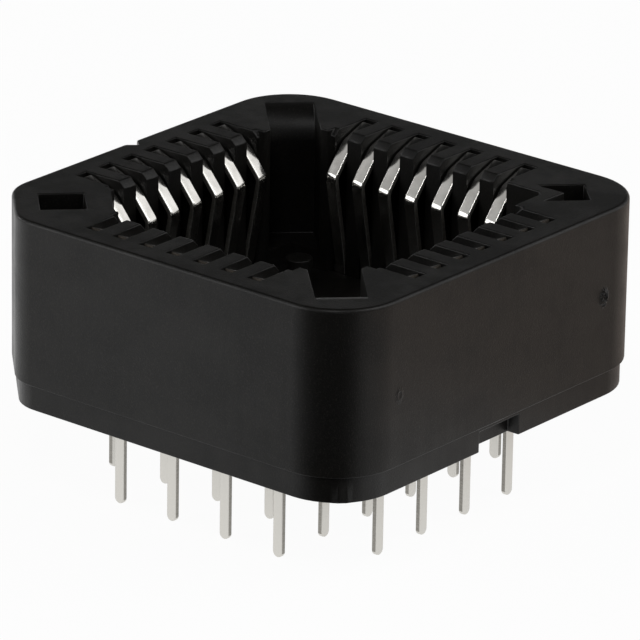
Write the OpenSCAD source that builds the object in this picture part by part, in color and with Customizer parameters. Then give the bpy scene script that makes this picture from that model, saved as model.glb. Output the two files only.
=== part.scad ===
// Socket for a leaded chip carrier with seven contacts a side.
// The board's surface is z = 0 and the tails point down through it. The index corner is at -X -Y.

/* [Body] */
// Width and depth of the moulded body
body_w = 18; // [17.6:0.1:20]
// Height of the body above the board
body_h = 7.4; // [7.3:0.05:8.5]
// Radius of three of the body's upright corners
corner_r = 2.55; // [1.2:0.05:2.6]
// Legs of the bevel that cuts off the fourth corner, at the index corner
bevel_leg = 2.35; // [2:0.05:2.5]
// Radius of the two edges of that bevel
bevel_r = 1.75; // [1.2:0.05:1.9]
// Rounding of the top's outer edge
edge_r = 0.15; // [0.05:0.05:0.3]
// Height of the stepped band round the foot
band_h = 1; // [0.95:0.05:1.4]
// How far the band stands in from the sides
band_step = 0.15; // [0.05:0.05:0.25]
// Height of the floor's underside above the board
standoff_h = 0.4; // [0.2:0.05:0.6]
// Width of the rim that stands on the board
rim_w = 0.95; // [0.85:0.05:1.1]
// Height of the floor's top above the board
floor_top = 1.7; // [1.6:0.05:2.2]

/* [Chip cavity] */
// Inner width between the corner blocks
guide_w = 12; // [11.9:0.05:12.1]
// How far the rib ends stand back from the corner blocks
rib_set = 0.2; // [0.15:0.05:0.3]
// Legs of the index corner, measured from the rib ends
index_leg = 1.9; // [1.6:0.05:2]
// Lead-in bevel on the ribs' inner top edges
lead_in = 0.25; // [0.1:0.05:0.35]
// Diameter of the posts under the chip's corners
post_d = 1.05; // [0.8:0.05:1.2]
// Distance of the posts from the centre lines
post_pos = 3.85; // [3.7:0.05:4.1]
// Height of the chip's seat above the board
seat_h = 3; // [2.5:0.1:3.4]

/* [Contact slots] */
// Pitch of the contacts
pitch = 1.27; // [1.25:0.01:1.29]
// Width of a slot between two ribs
slot_w = 0.6; // [0.56:0.02:0.64]
// Thickness of the wall outside the slots
slot_wall = 0.95; // [0.8:0.05:1.1]

/* [Extraction slots] */
// Width of the two corner slots that take the extraction tool
pull_w = 1.9; // [1.6:0.1:2]
// Wall left between such a slot and the body's rounded corner
pull_wall = 1.05; // [1:0.05:1.4]
// Radius of the slot's rolled outer end
pull_r = 1.2; // [0.8:0.1:1.3]
// Height of the slot's floor above the board
pull_floor = 2.5; // [2.2:0.1:3]

/* [Corner pockets] */
// Side of the square pockets in the other two corners
pocket_w = 1.7; // [1.5:0.05:1.8]
// How far the middle of a pocket stands back from the cavity's corner
pocket_set = 0.55; // [0.5:0.05:0.6]
// Depth of the pockets
pocket_d = 1; // [0.6:0.1:1.4]

/* [Notches] */
// Width of the pin one notch in the top's left edge
mark_w = 0.8; // [0.6:0.1:1]
// Depth of that notch, inwards
mark_in = 0.45; // [0.3:0.05:0.5]
// Height of that notch
mark_h = 1; // [0.6:0.1:1.6]
// Width of the vent notches at the foot
vent_w = 2.3; // [2:0.1:2.6]
// Depth of the vent notches, inwards from the band
vent_in = 0.5; // [0.4:0.05:0.55]
// Height of the vent notches
vent_h = 0.8; // [0.6:0.05:0.9]

/* [Contacts] */
// Thickness of the contact strip
strip_t = 0.2; // [0.16:0.01:0.22]
// Width of the spring beam
beam_w = 0.5; // [0.44:0.01:0.52]
// Width of the foot held in the floor
foot_w = 0.8; // [0.7:0.02:0.84]
// Height of the foot above the floor's underside
foot_h = 1.1; // [0.8:0.05:1.2]
// Distance from the centre to the middle of the beams' knees
knee_pos = 5.72; // [5.65:0.01:5.8]
// Depth of the knees below the body's top
knee_drop = 1.7; // [1.5:0.05:1.9]
// How far the beams' tips stand in from the slots' outer ends
tip_gap = 0.25; // [0.2:0.05:0.45]
// Depth of the tips below the body's top
tip_drop = 0.14; // [0.12:0.01:0.3]
// Bend radius at the knee
knee_r = 0.35; // [0.25:0.05:0.45]
// Bend radius of the beam's other bends
bend_r = 0.7; // [0.4:0.05:0.9]
// Clearance round a contact in the floor
fit_gap = 0.02; // [0.01:0.005:0.03]

/* [Tails] */
// Pitch of the board's hole grid
grid = 2.54; // [2.52:0.01:2.56]
// Length of the tails below the board's surface
tail_l = 3.85; // [2.5:0.05:4.5]
// Width of a tail
tail_w = 0.44; // [0.4:0.01:0.48]

/* [Hidden] */
PER_SIDE = 7;
SIDES = ["front", "right", "rear", "left"];
half_w = body_w / 2;
rib_r = guide_w / 2 + rib_set;
pocket_pos = guide_w / 2 + pocket_set;
// Middles of the body's corner radii, from the centre lines
corner_mid = half_w - corner_r;
bevel_mid = half_w - bevel_r;
bevel_start = half_w - bevel_leg - bevel_r * tan(22.5);
// The bevel's flat lies this far inside its round edges and reaches this far past their middles,
// so that the faces cross cleanly
hair = 0.005;
lap = 0.1;
slot_out = half_w - slot_wall;
tip_pos = slot_out - tip_gap;
outer_row = 2.5 * grid;
inner_row = 1.5 * grid;
jog = grid / 2;
// Straight part of the beam above the floor, and the point where it starts to flatten
beam_root = 0.35;
shoulder_pos = 6.62;
shoulder_drop = 0.58;
// How far the beam's sharp corner lies inside its rounded knee
knee_over = 0.04;
// Straight ends of the jogged strip under the floor, and the radius of its bends
run_lead = 0.9;
run_end = 0.5;
run_bend = 0.3;
// The seat posts start above the strips under the floor
post_foot = standoff_h + 2 * strip_t;
// How far the arrow's base is sunk into the pocket's wall
arrow_sink = 0.1;
// Cuts run this far past the faces that they open
over = 1;
FINE = 96;

function contact_name(side, i) = str("contact_", SIDES[side], "_", i);

// Offset of contact i from the middle of its side
function contact_s(i) = (i - (PER_SIDE + 1) / 2) * pitch;

// Every second contact has its tail in the inner row
function is_inner(i) = i % 2 == 0;

// Points on an arc from angle a0 to a1, in n steps
function arc(c, r, a0, a1, n) = [for (i = [0:n]) let (a = a0 + (a1 - a0) * i / n) c + r * [cos(a), sin(a)]];

function unit(v) = v / norm(v);

function cross2(a, b) = a.x * b.y - a.y * b.x;

// Bend of radius r that replaces corner b of the path a, b, c
function bend(a, b, c, r, n) =
  let (
    u = unit(b - a),
    v = unit(c - b),
    side = cross2(u, v) > 0 ? 1 : -1,
    turn = acos(u * v),
    start = b - u * r * tan(turn / 2),
    centre = start + side * r * [-u.y, u.x],
    a0 = atan2(start.y - centre.y, start.x - centre.x)
  )
  arc(centre, r, a0, a0 + side * turn, n);

// The path with a bend at each inner corner
function bent(path, radii, n = 6) =
  concat(
    [path[0]],
    [for (i = [1:len(path) - 2]) each bend(path[i - 1], path[i], path[i + 1], radii[i - 1], n)],
    [path[len(path) - 1]]
  );

function normal(path, i) =
  let (
    a = path[max(i - 1, 0)],
    b = path[min(i + 1, len(path) - 1)],
    u = unit(b - a)
  )
  [-u.y, u.x];

// Outline of a strip of width w that runs along the path
function strip(path, w) =
  let (n = len(path) - 1)
  concat(
    [for (i = [0:n]) path[i] + normal(path, i) * w / 2],
    [for (i = [n:-1:0]) path[i] - normal(path, i) * w / 2]
  );

// Outline of the body, inset all round, with the index corner bevelled
module footprint(inset) {
  w = half_w - inset;
  r = bevel_r - inset;
  diagonal = (r - hair) * sqrt(1 / 2);
  polygon([
    [w, -corner_mid],
    [w, corner_mid],
    [corner_mid, w],
    [-corner_mid, w],
    [-w, corner_mid],
    [-w, -bevel_start],
    [-bevel_mid - diagonal, -bevel_start - diagonal],
    [-bevel_start - diagonal, -bevel_mid - diagonal],
    [-bevel_start, -w],
    [corner_mid, -w]
  ]);
  for (at = [[corner_mid, corner_mid], [-corner_mid, corner_mid], [corner_mid, -corner_mid]])
    translate(at)
      circle(corner_r - inset, $fn = FINE);
  for (at = [[-bevel_mid, -bevel_start], [-bevel_start, -bevel_mid]])
    translate(at)
      circle(r, $fn = FINE);
}

// Section of the block from its middle out to w, with the top edge rounded
module half_section(w) {
  polygon(concat([[0, band_h], [w, band_h]], arc([w - edge_r, body_h - edge_r], edge_r, 0, 90, 4), [[0, body_h]]));
}

// Upright round corner of the block
module round_corner(at, r) {
  translate(at)
    rotate_extrude($fn = FINE)
      half_section(r);
}

// One side of the block, at distance w from its middle, from s0 to s1 along the side
module flank(w, s0, s1) {
  translate([0, s1, 0])
    rotate([90, 0, 0])
      linear_extrude(s1 - s0)
        half_section(w);
}

module block() {
  for (at = [[corner_mid, corner_mid], [-corner_mid, corner_mid], [corner_mid, -corner_mid]])
    round_corner(at, corner_r);
  for (at = [[-bevel_mid, -bevel_start], [-bevel_start, -bevel_mid]])
    round_corner(at, bevel_r);
  flank(half_w, -corner_mid, corner_mid);
  rotate(90)
    flank(half_w, -corner_mid, corner_mid);
  rotate(180)
    flank(half_w, -corner_mid, bevel_start);
  rotate(270)
    flank(half_w, -bevel_start, corner_mid);
  bevel_half = (bevel_mid - bevel_start) * sqrt(1 / 2) + lap;
  rotate(225)
    flank((bevel_mid + bevel_start) * sqrt(1 / 2) + bevel_r - hair, -bevel_half, bevel_half);
}

module band() {
  linear_extrude(band_h + over)
    footprint(band_step);
}

// The space for the chip, with the index corner filled
module cavity() {
  index_line = 2 * rib_r - index_leg;
  zone = rib_r - index_leg;
  translate([0, 0, floor_top])
    linear_extrude(body_h)
      intersection() {
        union() {
          square(guide_w, center = true);
          square([2 * rib_r, 2 * zone], center = true);
          square([2 * zone, 2 * rib_r], center = true);
        }
        polygon([
          [-index_line, 0],
          [0, -index_line],
          [body_w, -index_line],
          [body_w, body_w],
          [-index_line, body_w]
        ]);
      }
}

// Space between two ribs, open to the cavity
module contact_slot() {
  translate([-slot_w / 2, -slot_out, floor_top])
    cube([slot_w, slot_out - rib_r + over, body_h]);
}

// Opening in the floor that holds a contact's foot
module foot_slot() {
  w = foot_w + 2 * fit_gap;
  t = strip_t + 2 * fit_gap;
  translate([-w / 2, -outer_row - t / 2, 0])
    cube([w, t, floor_top + over]);
}

// Bevel along the ribs' inner top edges on one side
module rib_bevel() {
  length = 2 * (rib_r - index_leg);
  rotate([90, 0, 90])
    linear_extrude(length, center = true)
      polygon([
        [-rib_r - lead_in, body_h + over],
        [-rib_r - lead_in, body_h],
        [-rib_r, body_h - lead_in],
        [-rib_r + over, body_h - lead_in],
        [-rib_r + over, body_h + over]
      ]);
}

// Line that an inner contact's strip follows under the floor
function run_path() =
  bent(
    [[0, -outer_row], [0, -outer_row + run_lead], [-jog, -inner_row - run_end], [-jog, -inner_row]],
    [run_bend, run_bend],
    4
  );

// Strip under the floor, grown by a clearance all round
module run(gap, h) {
  translate([0, 0, standoff_h])
    linear_extrude(h)
      polygon(strip(run_path(), tail_w + 2 * gap));
}

module run_groove() {
  translate([0, 0, -over])
    run(fit_gap, over + strip_t + fit_gap);
  translate([-jog - tail_w / 2 - fit_gap, -inner_row - strip_t / 2 - fit_gap, 0])
    cube([tail_w + 2 * fit_gap, strip_t + 2 * fit_gap, standoff_h + strip_t + fit_gap]);
}

// Slot for the extraction tool, with its outer end rolled over
module extraction_slot() {
  corner_u = half_w * sqrt(2) - corner_r * (sqrt(2) - 1);
  u = corner_u - pull_wall;
  rotate([90, 0, 0])
    linear_extrude(pull_w, center = true)
      polygon(concat(
        [[rib_r, pull_floor], [u - pull_r, pull_floor]],
        arc([u, body_h - pull_r], pull_r, 180, 90, 12),
        [[u, body_h + over], [rib_r, body_h + over]]
      ));
}

module corner_pocket() {
  translate([pocket_pos, pocket_pos, body_h - pocket_d])
    rotate(45)
      translate([-pocket_w / 2, -pocket_w / 2, 0])
        cube([pocket_w, pocket_w, pocket_d + over]);
}

// Arrow that is left standing in one pocket and points to its corner
module arrow() {
  base = -pocket_w / 2 - arrow_sink;
  translate([pocket_pos, pocket_pos, body_h - pocket_d])
    rotate(45)
      linear_extrude(pocket_d)
        polygon([[base, -pocket_w / 2], [0, 0], [base, pocket_w / 2]]);
}

module pin_one_notch() {
  translate([-half_w, 0, body_h - mark_h])
    linear_extrude(mark_h + over)
      polygon([[-over, mark_w / 2], [0, mark_w / 2], [mark_in, 0], [0, -mark_w / 2], [-over, -mark_w / 2]]);
}

module vent_notch() {
  translate([half_w - band_step - vent_in, -vent_w / 2, -over])
    cube([vent_in + over, vent_w, vent_h + over]);
}

module underside() {
  translate([0, 0, -over])
    linear_extrude(standoff_h + over)
      footprint(band_step + rim_w);
}

module seat_posts() {
  for (x = [-post_pos, post_pos], y = [-post_pos, post_pos])
    translate([x, y, post_foot])
      cylinder(d = post_d, h = seat_h - post_foot, $fn = FINE / 2);
}

module housing() {
  color([0.1, 0.1, 0.1]) {
    difference() {
      union() {
        block();
        band();
      }
      cavity();
      underside();
      for (k = [0:3])
        rotate(90 * k) {
          rib_bevel();
          for (i = [1:PER_SIDE])
            translate([contact_s(i), 0, 0]) {
              contact_slot();
              foot_slot();
              if (is_inner(i))
                run_groove();
            }
        }
      for (a = [-45, 135])
        rotate(a)
          extraction_slot();
      corner_pocket();
      rotate(180)
        corner_pocket();
      pin_one_notch();
      vent_notch();
      rotate(180)
        vent_notch();
    }
    seat_posts();
    arrow();
  }
}

// Side view of the spring beam: distance from the centre, then height
function beam_path() =
  bent(
    [
      [outer_row, standoff_h + foot_h / 2],
      [outer_row, floor_top + beam_root],
      [knee_pos - knee_over, body_h - knee_drop],
      [shoulder_pos, body_h - shoulder_drop],
      [tip_pos, body_h - tip_drop]
    ],
    [bend_r, knee_r, bend_r]
  );

module beam() {
  rotate([90, 0, -90])
    linear_extrude(beam_w, center = true)
      polygon(strip(beam_path(), strip_t));
}

module foot() {
  translate([-foot_w / 2, -outer_row - strip_t / 2, standoff_h])
    cube([foot_w, strip_t, foot_h]);
}

// Flat tail with a rounded end, reaching up to height top
module tail(top) {
  r = tail_w / 2;
  rotate([90, 0, 0])
    linear_extrude(strip_t, center = true)
      polygon(concat([[-r, top]], arc([0, r - tail_l], r, 180, 360, 12), [[r, top]]));
}

module contact(inner) {
  color([0.8, 0.78, 0.74]) {
    beam();
    foot();
    if (inner) {
      run(0, strip_t);
      translate([-jog, -inner_row, 0])
        tail(standoff_h + strip_t);
    } else {
      translate([0, -outer_row, 0])
        tail(standoff_h + foot_h / 2);
    }
  }
}

housing();
for (k = [0:3], i = [1:PER_SIDE])
  rotate(90 * k)
      translate([contact_s(i), 0, 0])
        contact(is_inner(i));
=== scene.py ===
"""Looks of a square chip carrier socket: black moulded housing, 28 tinned spring contacts."""

import math
import random

import bmesh
import bpy
from mathutils import Matrix, Vector


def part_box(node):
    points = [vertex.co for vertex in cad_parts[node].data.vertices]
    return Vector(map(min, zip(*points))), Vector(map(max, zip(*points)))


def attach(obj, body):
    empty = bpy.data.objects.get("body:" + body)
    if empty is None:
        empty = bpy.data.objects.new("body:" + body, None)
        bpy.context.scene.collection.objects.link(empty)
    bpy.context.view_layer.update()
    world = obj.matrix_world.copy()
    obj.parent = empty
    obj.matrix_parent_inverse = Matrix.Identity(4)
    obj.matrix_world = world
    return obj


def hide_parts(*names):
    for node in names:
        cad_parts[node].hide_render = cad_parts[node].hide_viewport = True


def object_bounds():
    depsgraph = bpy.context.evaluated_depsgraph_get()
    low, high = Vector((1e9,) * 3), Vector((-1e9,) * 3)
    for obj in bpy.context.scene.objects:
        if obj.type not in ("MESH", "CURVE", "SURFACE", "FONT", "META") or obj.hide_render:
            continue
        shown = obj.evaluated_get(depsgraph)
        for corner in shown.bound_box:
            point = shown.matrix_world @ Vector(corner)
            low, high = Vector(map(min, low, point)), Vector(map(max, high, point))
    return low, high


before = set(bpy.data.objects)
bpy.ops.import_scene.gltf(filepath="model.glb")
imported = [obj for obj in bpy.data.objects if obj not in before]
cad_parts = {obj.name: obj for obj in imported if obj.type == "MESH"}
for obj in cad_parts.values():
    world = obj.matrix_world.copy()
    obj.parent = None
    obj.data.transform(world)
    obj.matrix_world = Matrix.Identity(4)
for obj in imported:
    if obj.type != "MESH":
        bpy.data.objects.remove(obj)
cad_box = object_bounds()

MM = 0.001
SIDES = ("front", "right", "rear", "left")
PER_SIDE = 7
RIGHT_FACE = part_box("housing")[1][0]
PAPER_Z = cad_box[0][2]

# Rounding of the copies' edges
SAME_POINT = 0.0005 * MM
FLAT_ANGLE = math.radians(0.5)
SHARP_ANGLE = math.radians(32)
SHADING_ANGLE = math.radians(40)
ROUND_STEPS = 3
HOUSING_ROUND = 0.05 * MM
STRIP_ROUND = 0.04 * MM

# The housing's edges are rounded above this height, and further out than this at any height.
ROUND_ABOVE = 1.75 * MM
ROUND_OUTSIDE = 8.3 * MM

# Further out than this, faces that look outwards are the springs' cut ends.
TIP_START = 7.6 * MM

LAMP_DISTANCE = 0.30
# Name, direction from the part, size in metres, watts
LAMPS = (
    ("right_high", (0.70, 0.23, 0.72), (0.20, 0.20), 0.30),
    ("front_high", (0.30, -0.55, 0.77), (0.06, 0.06), 0.14),
    ("key", (-0.59, -0.50, 0.64), (0.30, 0.20), 0.10),
    ("low_left", (-0.60, -0.79, 0.36), (0.20, 0.15), 0.25),
    ("left", (-0.95, -0.05, 0.28), (0.08, 0.05), 0.07),
    ("rim", (0.48, 0.73, 0.41), (0.22, 0.22), 0.185),
)


# ---------------------------------------------------------------- shader maths


class Value:
    """A shader socket. Python's operators on it add Math nodes."""

    def __init__(self, tree, socket):
        self.tree = tree
        self.socket = socket

    def __add__(self, other):
        return self.tree.math("ADD", self, other)

    def __sub__(self, other):
        return self.tree.math("SUBTRACT", self, other)

    def __rsub__(self, other):
        return self.tree.math("SUBTRACT", other, self)

    def __mul__(self, other):
        return self.tree.math("MULTIPLY", self, other)

    def __truediv__(self, other):
        return self.tree.math("DIVIDE", self, other)

    __radd__ = __add__
    __rmul__ = __mul__


class Finish:
    """The node tree of a material or of the world."""

    def __init__(self, owner):
        owner.use_nodes = True
        self.nodes = owner.node_tree.nodes
        self.links = owner.node_tree.links
        self.nodes.clear()

    def add(self, kind, settings=None, sockets=None, out=0):
        """Any node: its type, its settings, then its sockets' values or links."""
        node = self.nodes.new("ShaderNode" + kind)
        for name, value in (settings or {}).items():
            setattr(node, name, value)
        for name, value in (sockets or {}).items():
            self.feed(node.inputs[name], value)
        return Value(self, node.outputs[out]) if len(node.outputs) else node

    def feed(self, socket, value):
        if isinstance(value, Value):
            self.links.new(value.socket, socket)
        else:
            socket.default_value = value

    def math(self, operation, *values):
        return self.add("Math", {"operation": operation}, dict(enumerate(values)))

    def dot(self, a, b):
        return self.add("VectorMath", {"operation": "DOT_PRODUCT"}, {0: a, 1: b}, out=1)

    def clamp(self, value):
        return self.add("Clamp", None, {"Value": value})

    def blend(self, factor, a, b):
        """Colour b over colour a by factor."""
        return self.add("Mix", {"data_type": "RGBA"}, {0: factor, 6: a, 7: b}, out=2)

    def place(self):
        return self.add("TexCoord", out=3)

    def stretched(self, scale):
        """Object coordinates in units of the given lengths, in metres."""
        return self.add("VectorMath", {"operation": "DIVIDE"}, {0: self.place(), 1: scale})

    def height(self):
        """Height above the board, in mm."""
        return self.add("SeparateXYZ", None, {0: self.place()}, out=2) / MM

    def noise(self, scale, detail=2.0, roughness=0.5):
        return self.add(
            "TexNoise",
            None,
            {"Vector": self.stretched(scale), "Scale": 1.0, "Detail": detail, "Roughness": roughness},
        )

    def between(self, value, low, high, to_low=0.0, to_high=1.0):
        return self.add(
            "MapRange",
            {"interpolation_type": "SMOOTHSTEP"},
            {"Value": value, 1: low, 2: high, 3: to_low, 4: to_high},
        )

    def surface(self, sockets):
        """Ends a material in one Principled surface."""
        self.add("OutputMaterial", None, {0: self.add("BsdfPrincipled", None, sockets)})


def moulded_plastic():
    """Black glass-filled plastic: matte, finely grained, a little uneven in tone."""
    material = bpy.data.materials.new("moulded_plastic")
    f = Finish(material)
    grain = f.noise((0.055 * MM,) * 3, 3.0, 0.6)
    cloud = f.noise((2.6 * MM, 2.6 * MM, 1.6 * MM), 3.0, 0.55)
    flow = f.noise((0.5 * MM, 0.5 * MM, 2.8 * MM), 2.0, 0.5)
    tone = f.between(cloud * 0.7 + flow * 0.3, 0.3, 0.7)
    colour = f.blend(tone, (0.0018, 0.0017, 0.0015, 1), (0.0064, 0.006, 0.0053, 1))
    speck = f.between(grain, 0.5, 0.75)
    colour = f.blend(speck * 0.6, colour, (0.026, 0.024, 0.021, 1))
    bump = f.add("Bump", None, {"Strength": 0.5, "Distance": 0.016 * MM, "Height": grain})
    rough = f.between(tone + grain * 0.4, 0.2, 1.2, 0.44, 0.34)
    f.surface({"Base Color": colour, "Roughness": rough, "Specular IOR Level": 0.25, "Normal": bump})
    return material


def tinned_strip():
    """Tin plating on rolled strip: burnished at the knees, dull on the tails."""
    material = bpy.data.materials.new("tinned_strip")
    f = Finish(material)
    z = f.height()
    grain = f.noise((0.05 * MM, 0.05 * MM, 0.6 * MM), 3.0, 0.6)
    cloud = f.noise((0.5 * MM, 0.5 * MM, 0.7 * MM), 2.0, 0.5)
    tail = f.between(z, 0.6, -0.4)
    knee = f.between(z, 5.0, 5.5) * f.between(z, 6.3, 5.95)
    colour = f.blend(f.between(cloud, 0.3, 0.7), (0.54, 0.528, 0.5, 1), (0.65, 0.637, 0.606, 1))
    colour = f.blend(tail, colour, (0.66, 0.645, 0.605, 1))
    rough = 0.2 + 0.26 * tail - 0.04 * knee + 0.08 * (grain - 0.5)
    bump = f.add("Bump", None, {"Strength": 0.2, "Distance": 0.006 * MM, "Height": grain})
    f.surface({"Base Color": colour, "Metallic": 1.0, "Roughness": f.clamp(rough), "Normal": bump})
    return material


def cut_metal_and_painted_tip_shade():
    """The sheared edges of the strip, where the base metal shows dull; further out, at the springs' ends,
    painted shade darkens it almost to black.
    """
    material = bpy.data.materials.new("cut_metal_and_painted_tip_shade")
    f = Finish(material)
    score = f.noise((0.4 * MM, 0.4 * MM, 0.03 * MM), 2.0, 0.6)
    colour = f.blend(f.between(score, 0.35, 0.65), (0.26, 0.25, 0.225, 1), (0.38, 0.365, 0.335, 1))
    # Painted shade: further out than about 7.5 mm from the centre, at the springs' ends, the colour goes
    # almost black.
    off_x = f.math("ABSOLUTE", f.dot(f.place(), (1, 0, 0)))
    off_y = f.math("ABSOLUTE", f.dot(f.place(), (0, 1, 0)))
    reach = f.math("MAXIMUM", off_x, off_y)
    colour = f.blend(f.between(reach / MM, 7.5, 7.6), colour, (0.045, 0.04, 0.034, 1))
    bump = f.add("Bump", None, {"Strength": 0.3, "Distance": 0.005 * MM, "Height": score})
    rough = f.between(score, 0.2, 0.8, 0.5, 0.62)
    f.surface({"Base Color": colour, "Metallic": 1.0, "Roughness": rough, "Normal": bump})
    return material


# ---------------------------------------------------------------- stage


def add_camera():
    """A long lens from the front right, a little above the part, with a slight roll."""
    azimuth = math.radians(39.218)
    elevation = math.radians(21.034)
    roll = math.radians(0.979)
    distance = 239.253
    away = Vector(
        (
            math.cos(elevation) * math.sin(azimuth),
            -math.cos(elevation) * math.cos(azimuth),
            math.sin(elevation),
        )
    )
    right = Vector((math.cos(azimuth), math.sin(azimuth), 0))
    up = away.cross(right)
    aim = Vector((0, 0, 3.406)) + right * 0.284 - up * 0.797
    turn = Matrix.Rotation(roll, 3, away)
    data = bpy.data.cameras.new("camera")
    data.lens = 364.33
    data.sensor_width = 36
    camera = bpy.data.objects.new("camera", data)
    bpy.context.scene.collection.objects.link(camera)
    turned = Matrix((turn @ right, turn @ up, away)).transposed().to_4x4()
    camera.matrix_world = Matrix.Translation((aim + away * distance) * MM) @ turned
    bpy.context.scene.camera = camera


def add_floor():
    """A white floor to the camera. Reflections and bounced light find its colour painted: a dark sector in
    front, which is painted shade on the housing's near corner, and a warm tone at the back right, a painted
    reflection on the housing's right side.
    """
    material = bpy.data.materials.new("paper_and_painted_shade")
    f = Finish(material)
    seen = f.add("LightPath", out=0)
    glossy = f.add("LightPath", out=3)
    through = f.add("LightPath", out=6)
    # Painted shade: in a sector in front of the near corner, reflected and bounced rays find the floor
    # dark, while the camera sees it white.
    corner = (6.45 * MM, -6.45 * MM, 0)
    bearing = math.radians(-63)
    ahead = (math.cos(bearing), math.sin(bearing), 0)
    aside = (-math.sin(bearing), math.cos(bearing), 0)
    from_corner = f.add("VectorMath", {"operation": "SUBTRACT"}, {0: f.place(), 1: corner})
    along = f.dot(from_corner, ahead) / MM
    across = f.math("ABSOLUTE", f.dot(from_corner, aside) / MM)
    painted_shade_wedge = f.between(1.25 * along - across, -1.0, 5.0)
    lit = f.clamp(seen + (glossy + through) * (1 - painted_shade_wedge))
    tone = f.blend(painted_shade_wedge * (1 - seen), (0.9, 0.9, 0.9, 1), (0.05, 0.05, 0.05, 1))
    paper_and_painted_shade = f.add("BsdfPrincipled", None, {"Base Color": tone, "Roughness": 1.0, "Specular IOR Level": 0.0})
    # Painted reflection: at the back right, reflected rays find the floor a warm grey, while the camera
    # sees it white.
    painted_warm_reflection = f.between(f.dot(f.place(), (0.63, 0.77, 0)) / MM, 13.0, 18.0) * (1 - seen)
    backdrop_and_painted_reflection = f.blend(painted_warm_reflection, (1, 1, 1, 1), (0.62, 0.53, 0.47, 1))
    white = f.add("Emission", None, {"Color": backdrop_and_painted_reflection, "Strength": 1.0})
    f.add("OutputMaterial", None, {0: f.add("MixShader", None, {0: lit * 0.96, 1: paper_and_painted_shade, 2: white})})
    mesh = bpy.data.meshes.new("floor")
    half = 1.5
    outline = ((-half, -half), (half, -half), (half, half), (-half, half))
    mesh.from_pydata([(x, y, PAPER_Z) for x, y in outline], [], [(0, 1, 2, 3)])
    mesh.materials.append(material)
    floor = bpy.data.objects.new("floor", mesh)
    bpy.context.scene.collection.objects.link(floor)


def add_world():
    """A white sweep at the horizon under a dim ceiling."""
    world = bpy.data.worlds.new("studio")
    bpy.context.scene.world = world
    f = Finish(world)
    rise = f.add("SeparateXYZ", None, {0: f.add("TexCoord", out=0)}, out=2)
    wall = f.between(rise, 0.04, 0.13, 1.0, 0.11)
    ceiling = f.between(rise, 0.42, 0.6, 1.0, 0.08)
    f.add("OutputWorld", None, {0: f.add("Background", None, {"Color": wall * ceiling})})


def add_lamp(name, direction, size, watts):
    data = bpy.data.lights.new(name, "AREA")
    data.shape = "RECTANGLE"
    data.size, data.size_y = size
    data.energy = watts
    lamp = bpy.data.objects.new(name, data)
    bpy.context.scene.collection.objects.link(lamp)
    towards = Vector(direction).normalized()
    lamp.location = towards * LAMP_DISTANCE
    lamp.rotation_mode = "QUATERNION"
    lamp.rotation_quaternion = towards.to_track_quat("Z", "Y")


# ---------------------------------------------------------------- pieces


def softened(node, name, width, keep):
    """A copy of a CAD node, with those of its sharp edges that keep names rounded by width."""
    mesh = bmesh.new()
    mesh.from_mesh(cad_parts[node].data)
    bmesh.ops.remove_doubles(mesh, verts=mesh.verts, dist=SAME_POINT)
    bmesh.ops.dissolve_limit(mesh, angle_limit=FLAT_ANGLE, verts=mesh.verts, edges=mesh.edges)
    sharp = [
        e
        for e in mesh.edges
        if len(e.link_faces) == 2 and e.calc_face_angle() > SHARP_ANGLE and keep(e)
    ]
    bmesh.ops.bevel(
        mesh,
        geom=sharp,
        offset=width,
        offset_type="OFFSET",
        segments=ROUND_STEPS,
        profile=0.5,
        affect="EDGES",
        clamp_overlap=False,
        harden_normals=False,
    )
    # Where two edges run out together, the rounding overshoots: it is held inside the solid's box.
    low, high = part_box(node)
    for vert in mesh.verts:
        vert.co = [min(max(c, a), b) for c, a, b in zip(vert.co, low, high)]
    for face in mesh.faces:
        face.smooth = True
    data = bpy.data.meshes.new(name)
    mesh.to_mesh(data)
    mesh.free()
    piece = bpy.data.objects.new(name, data)
    bpy.context.scene.collection.objects.link(piece)
    data.set_sharp_from_angle(angle=SHADING_ANGLE)
    # The shading is weighed by whole faces, before triangles split them, so that flats stay flat.
    shading = piece.modifiers.new("even_shading", "WEIGHTED_NORMAL")
    shading.keep_sharp = True
    triangles = piece.modifiers.new("triangles", "TRIANGULATE")
    triangles.keep_custom_normals = True
    whole = piece.evaluated_get(bpy.context.evaluated_depsgraph_get())
    data = bpy.data.meshes.new_from_object(whole)
    piece.modifiers.clear()
    piece.data = data
    data.name = name
    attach(piece, "root")
    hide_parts(node)
    return piece


def add_housing(material):
    def shown(edge):
        high = all(v.co.z > ROUND_ABOVE for v in edge.verts)
        outside = all(max(abs(v.co.x), abs(v.co.y)) > ROUND_OUTSIDE for v in edge.verts)
        return high or outside

    housing = softened("housing", "moulded_housing", HOUSING_ROUND, shown)
    housing.data.materials.clear()
    housing.data.materials.append(material)


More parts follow.
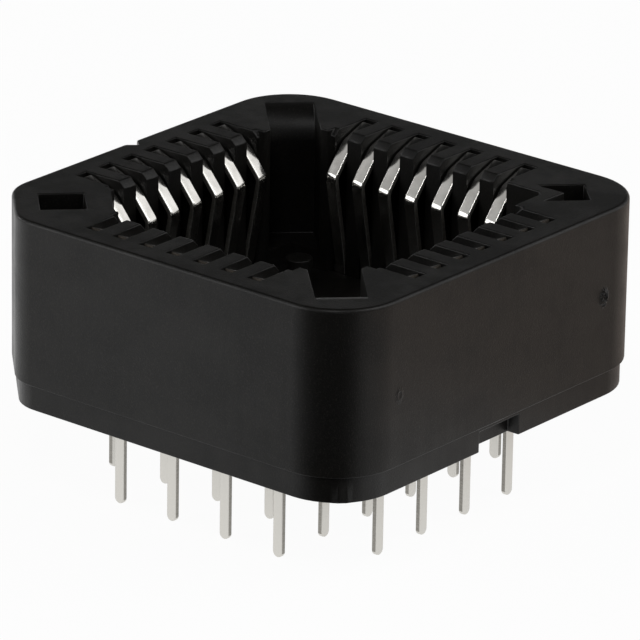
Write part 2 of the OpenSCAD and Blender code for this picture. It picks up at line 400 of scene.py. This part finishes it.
def add_mould_mark(name, material, y, z, radius, height):
    """A mark that the mould left on the right side: a rough ring of some height round a small pit."""
    chance = random.Random(7)
    steps = 28
    rings = ((1.0, -0.15), (0.72, 0.3), (0.52, 0.9), (0.4, 1.0), (0.26, 0.25), (0.1, 0.1))
    mesh = bmesh.new()
    rows = []
    for share, rise in rings:
        row = []
        for k in range(steps):
            turn = 2 * math.pi * k / steps
            rough = 0 if rise < 0 else chance.uniform(-0.22, 0.22)
            reach = radius * share * (1 + 0.35 * rough)
            out = height * max(rise + rough, 0.05) if rise > 0 else height * rise
            at_y = y + reach * math.cos(turn)
            at_z = z + 1.4 * reach * math.sin(turn)
            row.append(mesh.verts.new((RIGHT_FACE + out, at_y, at_z)))
        rows.append(row)
    for outer, inner in zip(rows, rows[1:]):
        for k in range(steps):
            n = (k + 1) % steps
            mesh.faces.new((outer[k], outer[n], inner[n], inner[k]))
    mesh.faces.new(rows[-1])
    mesh.faces.new(rows[0][::-1])
    bmesh.ops.recalc_face_normals(mesh, faces=mesh.faces)
    bmesh.ops.triangulate(mesh, faces=mesh.faces)
    data = bpy.data.meshes.new(name)
    mesh.to_mesh(data)
    mesh.free()
    data.materials.append(material)
    piece = bpy.data.objects.new(name, data)
    bpy.context.scene.collection.objects.link(piece)
    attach(piece, "root")


def add_contacts(plating, cut):
    """The 28 springs: plated faces, with cut metal on the strip's edges and the springs' ends."""
    for turn, side in enumerate(SIDES):
        outward = Matrix.Rotation(math.radians(90) * turn, 3, "Z") @ Vector((0, -1, 0))
        across = outward.cross(Vector((0, 0, 1)))
        for i in range(1, PER_SIDE + 1):
            node = f"contact_{side}_{i}"
            piece = softened(node, f"strip_{side}_{i}", STRIP_ROUND, lambda edge: True)
            piece.data.materials.clear()
            piece.data.materials.append(plating)
            piece.data.materials.append(cut)
            for face in piece.data.polygons:
                aside = abs(face.normal.dot(across))
                at_tip = face.center.dot(outward) > TIP_START and face.normal.dot(outward) > 0.3
                if aside > 0.95 or (at_tip and aside < 0.3):
                    face.material_index = 1


bpy.context.scene.view_settings.view_transform = "Standard"
add_camera()
add_world()
add_floor()
for lamp in LAMPS:
    add_lamp(*lamp)
plastic = moulded_plastic()
add_housing(plastic)
add_mould_mark("gate_mark", plastic, 5.9 * MM, 4.08 * MM, 0.33 * MM, 0.09 * MM)
add_mould_mark("vent_pin_mark", plastic, -6.05 * MM, 3.75 * MM, 0.28 * MM, 0.02 * MM)
add_contacts(tinned_strip(), cut_metal_and_painted_tip_shade())
